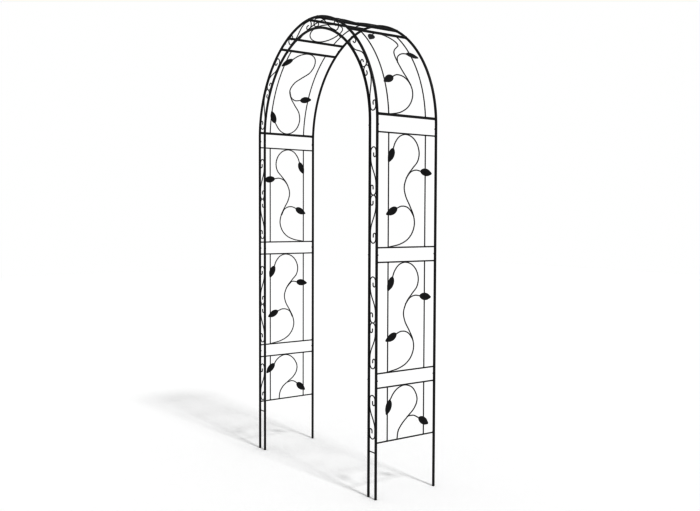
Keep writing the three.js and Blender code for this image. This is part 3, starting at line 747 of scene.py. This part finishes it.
def make_screws():
    """The four screws on each side of each hoop."""
    for hoop, (inset, y) in HOOPS.items():
        for number, travel in enumerate(SCREW_TRAVELS, start=1):
            for side, own in (("right", travel), ("left", 2 * ARCH_HALF - travel)):
                centre, along, inward = hoop_frame(own, inset, y)
                out = {"front_outer": Y_AXIS, "front_inner": inward, "back": -Y_AXIS}[hoop]
                seat = centre + out * (TUBE_RADIUS + SEAT_GAP)
                make_screw(f"{hoop}_{side}_screw_{number}", seat, out, along)


# ---------------------------------------------------------------- vine panels
# A panel is laid out on the surface between the front and back hoops, in shares of its size:
# u runs from the front hoop (0) to the back hoop (1), v from the bottom rail (0) to the top (1).
def three_leaf_vine(middle_tip, low_lift):
    """A wire bent into an S with two branches.

    middle_tip is how far across the middle leaf hangs; low_lift raises the low branch along the S.
    """
    low = (0.326, 0.343 + low_lift)
    return {
        "stems": [
            [(0.262, 0.861), (0.297, 0.918), (0.37, 0.973), (0.47, 0.994), (0.58, 0.975), (0.665, 0.92),
             (0.704, 0.84), (0.68, 0.765), (0.6, 0.705), (0.505, 0.63), (0.452, 0.535), (0.475, 0.455),
             (0.55, 0.365), (0.61, 0.285), (0.63, 0.205), (0.59, 0.125), (0.505, 0.065), (0.38, 0.027),
             (0.2, 0.004)],
            [(0.49, 0.615), (0.556, 0.664), (middle_tip - 0.09, 0.685), (middle_tip, 0.677)],
            [(0.615 - low_lift, 0.275 + low_lift), (0.555, 0.33 + low_lift), (0.49, 0.357 + low_lift),
             (0.405, 0.362 + low_lift), low],
        ],
        "leaves": [((0.262, 0.861), -114), ((middle_tip, 0.677), -8), (low, -155)],
    }


THREE_LEAF_VINE = three_leaf_vine(0.735, 0)
SHORT_BRANCH_VINE = three_leaf_vine(0.69, 0.018)
HIGH_BRANCH_VINE = three_leaf_vine(0.735, 0.018)
SHALLOW_VINE = {
    "stems": [
        [(0.35, 0.935), (0.4, 0.97), (0.47, 0.99), (0.55, 0.98), (0.62, 0.945), (0.67, 0.9),
         (0.697, 0.85), (0.69, 0.808), (0.634, 0.768), (0.571, 0.728), (0.53, 0.685), (0.512, 0.63),
         (0.514, 0.575), (0.524, 0.515), (0.55, 0.445), (0.593, 0.37), (0.622, 0.31), (0.632, 0.25),
         (0.61, 0.18), (0.53, 0.095), (0.39, 0.033), (0.2, 0.004)],
        [(0.514, 0.56), (0.547, 0.62), (0.625, 0.669), (0.7, 0.688), (0.75, 0.688)],
        [(0.619, 0.318), (0.58, 0.366), (0.514, 0.399), (0.421, 0.406), (0.339, 0.38)],
    ],
    "leaves": [((0.35, 0.935), -132), ((0.75, 0.688), -14), ((0.339, 0.38), -152)],
}
TWO_LEAF_VINE = {
    "stems": [
        [(0.228, 0.745), (0.3, 0.885), (0.385, 0.965), (0.485, 0.99), (0.61, 0.925), (0.685, 0.77),
         (0.694, 0.655), (0.645, 0.525), (0.545, 0.405), (0.445, 0.285), (0.375, 0.16),
         (0.353, 0.005)],
        [(0.535, 0.395), (0.575, 0.4), (0.64, 0.392), (0.731, 0.328)],
    ],
    "leaves": [((0.228, 0.745), -107), ((0.731, 0.328), -32)],
}
ROUND_TWO_LEAF_VINE = {
    "stems": [
        [(0.26, 0.805), (0.303, 0.89), (0.382, 0.965), (0.469, 0.99), (0.555, 0.958), (0.636, 0.865),
         (0.69, 0.722), (0.68, 0.587), (0.618, 0.468), (0.518, 0.37), (0.422, 0.272),
         (0.368, 0.153), (0.352, 0.005)],
        [(0.505, 0.355), (0.59, 0.375), (0.65, 0.348), (0.695, 0.301)],
    ],
    "leaves": [((0.26, 0.805), -137), ((0.695, 0.301), -39)],
}
LOOPED_VINE = {
    "stems": [
        [(0.28, 0.885), (0.36, 0.95), (0.46, 0.985), (0.57, 0.98), (0.665, 0.93), (0.712, 0.84),
         (0.685, 0.745), (0.58, 0.67), (0.48, 0.6), (0.436, 0.51), (0.48, 0.43), (0.58, 0.345),
         (0.685, 0.26), (0.718, 0.17), (0.675, 0.08), (0.57, 0.022), (0.46, 0.012), (0.36, 0.045),
         (0.265, 0.128)],
        [(0.438, 0.5), (0.49, 0.43), (0.57, 0.397), (0.677, 0.405)],
    ],
    "leaves": [((0.28, 0.885), -132), ((0.677, 0.405), 8), ((0.265, 0.128), 114)],
}
ROD_LINES = (ROD_INSET, DEPTH - ROD_INSET)

# Where a rail ends, from the tube's axis: a light one at the tube's skin, and a heavy one, which is
# as thick as the tube, inside it.
LIGHT_RAIL_END = TUBE_RADIUS - 0.0002
HEAVY_RAIL_END = TUBE_RADIUS * 0.25


def centripetal(points, step):
    """Points a step apart on a centripetal Catmull-Rom curve through plane points."""
    ends = [points[0] * 2 - points[1], *points, points[-1] * 2 - points[-2]]
    curve = [points[0]]
    for before, start, end, after in zip(ends, ends[1:], ends[2:], ends[3:]):
        gaps = [math.sqrt((b - a).length) for a, b in ((before, start), (start, end), (end, after))]
        leave = (start - before) / gaps[0] - (end - before) / (gaps[0] + gaps[1]) + (end - start) / gaps[1]
        arrive = (end - start) / gaps[1] - (after - start) / (gaps[1] + gaps[2]) + (after - end) / gaps[2]
        leave, arrive = leave * gaps[1], arrive * gaps[1]
        for s in spaced(0, 1, step / (end - start).length)[1:]:
            curve.append(start * (2 * s ** 3 - 3 * s ** 2 + 1) + end * (3 * s ** 2 - 2 * s ** 3)
                         + leave * (s ** 3 - 2 * s ** 2 + s) + arrive * (s ** 3 - s ** 2))
    return curve


class Panel:
    """Places on one panel: flat places are (distance from the front hoop, travel)."""

    def __init__(self, low, high, flipped=False):
        self.low = low
        self.high = high
        self.flipped = flipped

    def flat(self, u, v):
        """The flat place of a share across and a share up."""
        return Vector((u * DEPTH, self.low + v * (self.high - self.low)))

    def surface(self, flat):
        """Point, direction of travel, direction to the far hoop, and inward normal."""
        y = BACK_Y - flat.x if self.flipped else FRONT_Y + flat.x
        point, along, inward = hoop_frame(flat.y, 0, y)
        return point, along, Y_AXIS * (-1 if self.flipped else 1), inward


def add_rail(rails, welds, travel, radius):
    """A rail from hoop to hoop, with its weld at each end."""
    front, along, inward = hoop_frame(travel, 0, FRONT_Y)
    back = hoop_frame(travel, 0, BACK_Y)[0]
    gap = Y_AXIS * (LIGHT_RAIL_END if radius < HEAVY_RAIL_RADIUS else HEAVY_RAIL_END)
    straight_bar(rails, front + gap, back - gap, inward, radius, RAIL_SIDES)
    tee_bead(welds, front, Y_AXIS, along, radius, TUBE_RADIUS)
    tee_bead(welds, back, -Y_AXIS, along, radius, TUBE_RADIUS)


def add_rods(rods, welds, low, high, rail_radius, crossed=()):
    """The two rods that run up a panel, welded to its rails and to any rail they cross."""
    for y in (FRONT_Y + ROD_INSET, BACK_Y - ROD_INSET):
        stops = spaced(low, high, ARC_STEP) if high > 0 else [low, (low + high) / 2, high]
        points = [hoop_frame(stop, 0, y)[0] for stop in stops]
        bent_bar(rods, points, [Y_AXIS] * len(points), ROD_RADIUS, WIRE_SIDES)
        for travel, way in ((low, 1), (high, -1)):
            centre, along, _ = hoop_frame(travel, 0, y)
            tee_bead(welds, centre, along * way, Y_AXIS, ROD_RADIUS, rail_radius, ROD_FILLET)
        for travel in crossed:
            centre, along, _ = hoop_frame(travel, 0, y)
            for way in (-1, 1):
                tee_bead(welds, centre, along * way, Y_AXIS, ROD_RADIUS, rail_radius, ROD_FILLET)


def add_stems(panel, vine, wires, welds):
    """The bent wires of a vine, with a weld at each rod they cross and where each branch starts."""
    for number, places in enumerate(vine["stems"]):
        curve = centripetal([panel.flat(u, v) for u, v in places], WIRE_STEP)
        spots = [panel.surface(flat) for flat in curve]
        bent_bar(wires, [spot[0] for spot in spots], [spot[3] for spot in spots], VINE_RADIUS, WIRE_SIDES)
        for a, b, spot, after in zip(curve, curve[1:], spots, spots[1:]):
            if any((a.x - rod) * (b.x - rod) < 0 for rod in ROD_LINES):
                run = (after[0] - spot[0]).normalized()
                crossing_beads(welds, (spot[0] + after[0]) / 2, run, spot[3], VINE_RADIUS)
        if number > 0:
            run = (spots[1][0] - spots[0][0]).normalized()
            crossing_beads(welds, spots[0][0], run, spots[0][3], VINE_RADIUS)


# Leaf outline: lower powers move the widest place to the base and fill the outline out; the pinch
# draws the tip out from a share of the length on.
LEAF_BASE_POWER = 0.84
LEAF_FULL_POWER = 0.62
LEAF_PINCH = 1.36
LEAF_PINCH_START = 0.72

# Leaf relief: how deep it is cupped, its midrib and its side veins, and how square its edge is.
LEAF_CUP = 0.0022
MIDRIB_HEIGHT = 0.0009
MIDRIB_WIDTH = 0.0016
VEIN_HEIGHT = 0.00028
VEIN_COUNT = 7
VEIN_SLANT = 1.4
LEAF_EDGE_POWER = 8
LEAF_ROWS = 22
LEAF_COLUMNS = 15
LEAF_END_GAP = 0.15
LEAF_WELD_SETBACK = 0.001


def leaf_half_width(share):
    """Half width along the leaf: a full round base, widest before the middle, and a drawn-out tip."""
    body = math.sin(math.pi * share ** LEAF_BASE_POWER) ** LEAF_FULL_POWER
    beyond = max(0.0, (share - LEAF_PINCH_START) / (1 - LEAF_PINCH_START))
    return LEAF_WIDTH / 2 * body * (1 - LEAF_PINCH * beyond * (1 - share))


def leaf_relief(share, side, half):
    """Height of the sheet at a share of the leaf's length and a side from -1 to 1 across it.

    half is the leaf's half width there.
    """
    cup = LEAF_CUP * side ** 2 * half / (LEAF_WIDTH / 2)
    fading = math.sqrt(math.sin(math.pi * share))
    midrib = MIDRIB_HEIGHT * fading * math.exp(-(half * side / MIDRIB_WIDTH) ** 2)
    wave = math.sin(2 * math.pi * (share * VEIN_COUNT - abs(side) * VEIN_SLANT))
    return midrib + VEIN_HEIGHT * wave * (1 - side ** 2) - cup


def add_leaf(panel, place, degrees, leaves, welds):
    """A stamped leaf on the end of a stem: cupped, with a midrib and side veins pressed into it."""
    base, along_hoop_way, across_hoop_way, normal = panel.surface(panel.flat(*place))
    turn = math.radians(degrees)
    along = (along_hoop_way * math.sin(turn) + across_hoop_way * math.cos(turn)).normalized()
    across = normal.cross(along).normalized()
    rows = []
    for k in range(LEAF_ROWS + 1):
        share = 0.5 - 0.5 * math.cos(math.pi * (k + LEAF_END_GAP) / (LEAF_ROWS + 2 * LEAF_END_GAP))
        half = leaf_half_width(share)
        length = -VINE_RADIUS + share * (LEAF_LENGTH + VINE_RADIUS)
        tops, bottoms = [], []
        for c in range(LEAF_COLUMNS):
            t = -1 + 2 * c / (LEAF_COLUMNS - 1)
            side = math.sin(t * math.pi / 2)
            middle = leaf_relief(share, side, half)
            thick = LEAF_THICKNESS / 2 * math.sqrt(1 - side ** LEAF_EDGE_POWER)
            point = base + along * length + across * half * side
            tops.append(point + normal * (middle + thick))
            bottoms.append(point + normal * (middle - thick))
        rows.append(bottoms + tops[-2:0:-1])
    leaves.skin(rows, row_centres(rows))
    crossing_beads(welds, base - along * LEAF_WELD_SETBACK, along, normal, VINE_RADIUS)


RING_STEPS = 120
RING_WELD_OUTSET = VINE_RADIUS * 0.8


def add_ring(wires, welds):
    """An oval ring between the haunch rail and the ridge rail, welded to both."""
    centre = (HAUNCH_RAIL + RIDGE_RAIL) / 2
    reach = (RIDGE_RAIL - HAUNCH_RAIL) / 2 - HEAVY_RAIL_RADIUS - VINE_RADIUS + WELD_BITE
    rings = []
    for k in range(RING_STEPS):
        turn = 2 * math.pi * k / RING_STEPS
        travel = centre + reach * math.cos(turn)
        point, along, inward = hoop_frame(travel, 0, RING_HALF_WIDTH * math.sin(turn))
        run = (Y_AXIS * RING_HALF_WIDTH * math.cos(turn) - along * reach * math.sin(turn)).normalized()
        rings.append((point, inward.cross(run).normalized(), inward, VINE_RADIUS))
    wires.bar(rings, WIRE_SIDES, loop=True)
    for turn in (0, math.pi):
        point, _, inward = hoop_frame(centre + (reach + RING_WELD_OUTSET) * math.cos(turn), 0, 0)
        crossing_beads(welds, point, Y_AXIS, inward, VINE_RADIUS)


def panel_shapes(low, high, rail_radius, vine, flipped=False):
    """The rails and rods, vine, leaves and welds of one panel, as shapes."""
    panel = Panel(low, high, flipped)
    rails, wires, leaves, welds = Shape(), Shape(), Shape(), Shape()
    add_rail(rails, welds, low, rail_radius)
    add_rail(rails, welds, high, rail_radius)
    add_rods(rails, welds, low, high, rail_radius)
    add_stems(panel, vine, wires, welds)
    for place, degrees in vine["leaves"]:
        add_leaf(panel, place, degrees, leaves, welds)
    return {"rails": rails, "vine": wires, "leaves": leaves, "welds": welds}


PANEL_COATS = {"rails": COAT, "vine": WIRE_COAT, "leaves": LEAF_COAT, "welds": WELD_COAT}


def make_panel(node, shapes, left=False):
    """The pieces of one panel. The first of them, its rails and rods, stands for the node."""
    for part, shape in shapes.items():
        own = shape.mirrored() if left else shape
        stands_for = node if part == "rails" else None
        make_piece(f"{node}.{part}", own, PANEL_COATS[part], stands_for)


def make_panels():
    """The straight panels and the shoulder panels of both sides."""
    tiers = {
        "lower": (LOWER_RAILS, TWO_LEAF_VINE, ROUND_TWO_LEAF_VINE, False),
        "middle": (MIDDLE_RAILS, THREE_LEAF_VINE, SHORT_BRANCH_VINE, False),
        "upper": (UPPER_RAILS, THREE_LEAF_VINE, HIGH_BRANCH_VINE, True),
    }
    for tier, (rails, right_vine, left_vine, left_flipped) in tiers.items():
        low, high = (rail - SPRING_HEIGHT for rail in rails)
        right = panel_shapes(low, high, LIGHT_RAIL_RADIUS, right_vine)
        left = panel_shapes(low, high, LIGHT_RAIL_RADIUS, left_vine, left_flipped)
        make_panel(f"right_{tier}_panel", right)
        make_panel(f"left_{tier}_panel", left, left=True)
    for side, vine in (("right", SHALLOW_VINE), ("left", LOOPED_VINE)):
        shapes = panel_shapes(*SHOULDER_RAILS, HEAVY_RAIL_RADIUS, vine)
        make_panel(f"{side}_shoulder_panel", shapes, left=side == "left")


def make_crown_panel():
    """Four rails, two rods over all of them, and an oval ring on each side."""
    rails, rings, welds = Shape(), Shape(), Shape()
    for travel in (HAUNCH_RAIL, RIDGE_RAIL):
        half, half_welds = Shape(), Shape()
        add_rail(half, half_welds, travel, HEAVY_RAIL_RADIUS)
        rails.add_both_ways(half)
        welds.add_both_ways(half_welds)
    crossed = (RIDGE_RAIL, 2 * ARCH_HALF - RIDGE_RAIL)
    add_rods(rails, welds, HAUNCH_RAIL, 2 * ARCH_HALF - HAUNCH_RAIL, HEAVY_RAIL_RADIUS, crossed)
    ring, ring_welds = Shape(), Shape()
    add_ring(ring, ring_welds)
    rings.add_both_ways(ring)
    welds.add_both_ways(ring_welds)
    make_panel("crown_panel", {"rails": rails, "vine": rings, "welds": welds})


# ---------------------------------------------------------------- studio
CAMERA_PLACE = Vector((3.6645, -2.5793, 1.343))
CAMERA_YAW = math.radians(54.27)
CAMERA_PITCH = math.radians(2.40)
CAMERA_ROLL = math.radians(0.19)
CAMERA_LENS = 42.61
CAMERA_SENSOR = 36
CAMERA_SHIFT = (0.0010, -0.0017)
FLOOR_HALF = 16.0
FLOOR_WHITE = 0.93
FLOOR_ROUGHNESS = 0.9
KEY_ELEVATION = math.radians(50)
KEY_STRENGTH = 1.6
KEY_ANGLE = math.radians(7)
SKY_LIGHT = 0.7
VIEW_GAMMA = 0.6


def make_camera():
    """A camera at chest height, in front of the arch and to its right."""
    data = bpy.data.cameras.new("camera")
    data.sensor_width = CAMERA_SENSOR
    data.lens = CAMERA_LENS
    data.shift_x, data.shift_y = CAMERA_SHIFT
    camera = bpy.data.objects.new("camera", data)
    bpy.context.scene.collection.objects.link(camera)
    forward = Vector((-math.sin(CAMERA_YAW) * math.cos(CAMERA_PITCH),
                      math.cos(CAMERA_YAW) * math.cos(CAMERA_PITCH), -math.sin(CAMERA_PITCH)))
    right = forward.cross(Vector((0, 0, 1))).normalized()
    up = right.cross(forward)
    tilted_right = right * math.cos(CAMERA_ROLL) + up * math.sin(CAMERA_ROLL)
    tilted_up = up * math.cos(CAMERA_ROLL) - right * math.sin(CAMERA_ROLL)
    turn = Matrix((tilted_right, tilted_up, -forward)).transposed().to_4x4()
    camera.matrix_world = Matrix.Translation(CAMERA_PLACE) @ turn
    bpy.context.scene.camera = camera


def make_floor():
    """A plain white floor, wide enough that its far edge is lost in the white round it."""
    mesh = bpy.data.meshes.new("floor")
    corners = [(x * FLOOR_HALF, y * FLOOR_HALF, 0) for x, y in ((-1, -1), (1, -1), (1, 1), (-1, 1))]
    mesh.from_pydata(corners, [], [(0, 1, 2, 3)])
    material = bpy.data.materials.new("white_floor")
    material.use_nodes = True
    shader = material.node_tree.nodes["Principled BSDF"]
    shader.inputs["Base Color"].default_value = (FLOOR_WHITE, FLOOR_WHITE, FLOOR_WHITE, 1)
    shader.inputs["Roughness"].default_value = FLOOR_ROUGHNESS
    shader.inputs["Specular IOR Level"].default_value = 0.0
    mesh.materials.append(material)
    floor = bpy.data.objects.new("floor", mesh)
    bpy.context.scene.collection.objects.link(floor)


def make_sky():
    """White all round: full white where it is seen as the background, softer as a light."""
    world = bpy.data.worlds.new("white_studio")
    world.use_nodes = True
    tree = world.node_tree
    tree.nodes.clear()
    seen, light = (tree.nodes.new("ShaderNodeBackground") for _ in range(2))
    light.inputs["Strength"].default_value = SKY_LIGHT
    for node in (seen, light):
        node.inputs["Color"].default_value = (1, 1, 1, 1)
    ray = tree.nodes.new("ShaderNodeLightPath")
    choice = tree.nodes.new("ShaderNodeMixShader")
    output = tree.nodes.new("ShaderNodeOutputWorld")
    tree.links.new(ray.outputs["Is Camera Ray"], choice.inputs[0])
    tree.links.new(light.outputs[0], choice.inputs[1])
    tree.links.new(seen.outputs[0], choice.inputs[2])
    tree.links.new(choice.outputs[0], output.inputs["Surface"])
    bpy.context.scene.world = world


def make_key_light():
    """A slightly soft sun over the right of the arch, which throws its shadow to the left."""
    data = bpy.data.lights.new("key", "SUN")
    data.energy = KEY_STRENGTH
    data.angle = KEY_ANGLE
    key = bpy.data.objects.new("key", data)
    bpy.context.scene.collection.objects.link(key)
    towards = Vector((math.cos(KEY_ELEVATION), 0, math.sin(KEY_ELEVATION)))
    key.rotation_euler = towards.to_track_quat("Z", "Y").to_euler()


make_camera()
make_floor()
make_sky()
make_key_light()
bpy.context.scene.view_settings.view_transform = "Standard"
bpy.context.scene.view_settings.gamma = VIEW_GAMMA

make_side_sections()
make_crown_sections()
make_screws()
make_panels()
make_crown_panel()
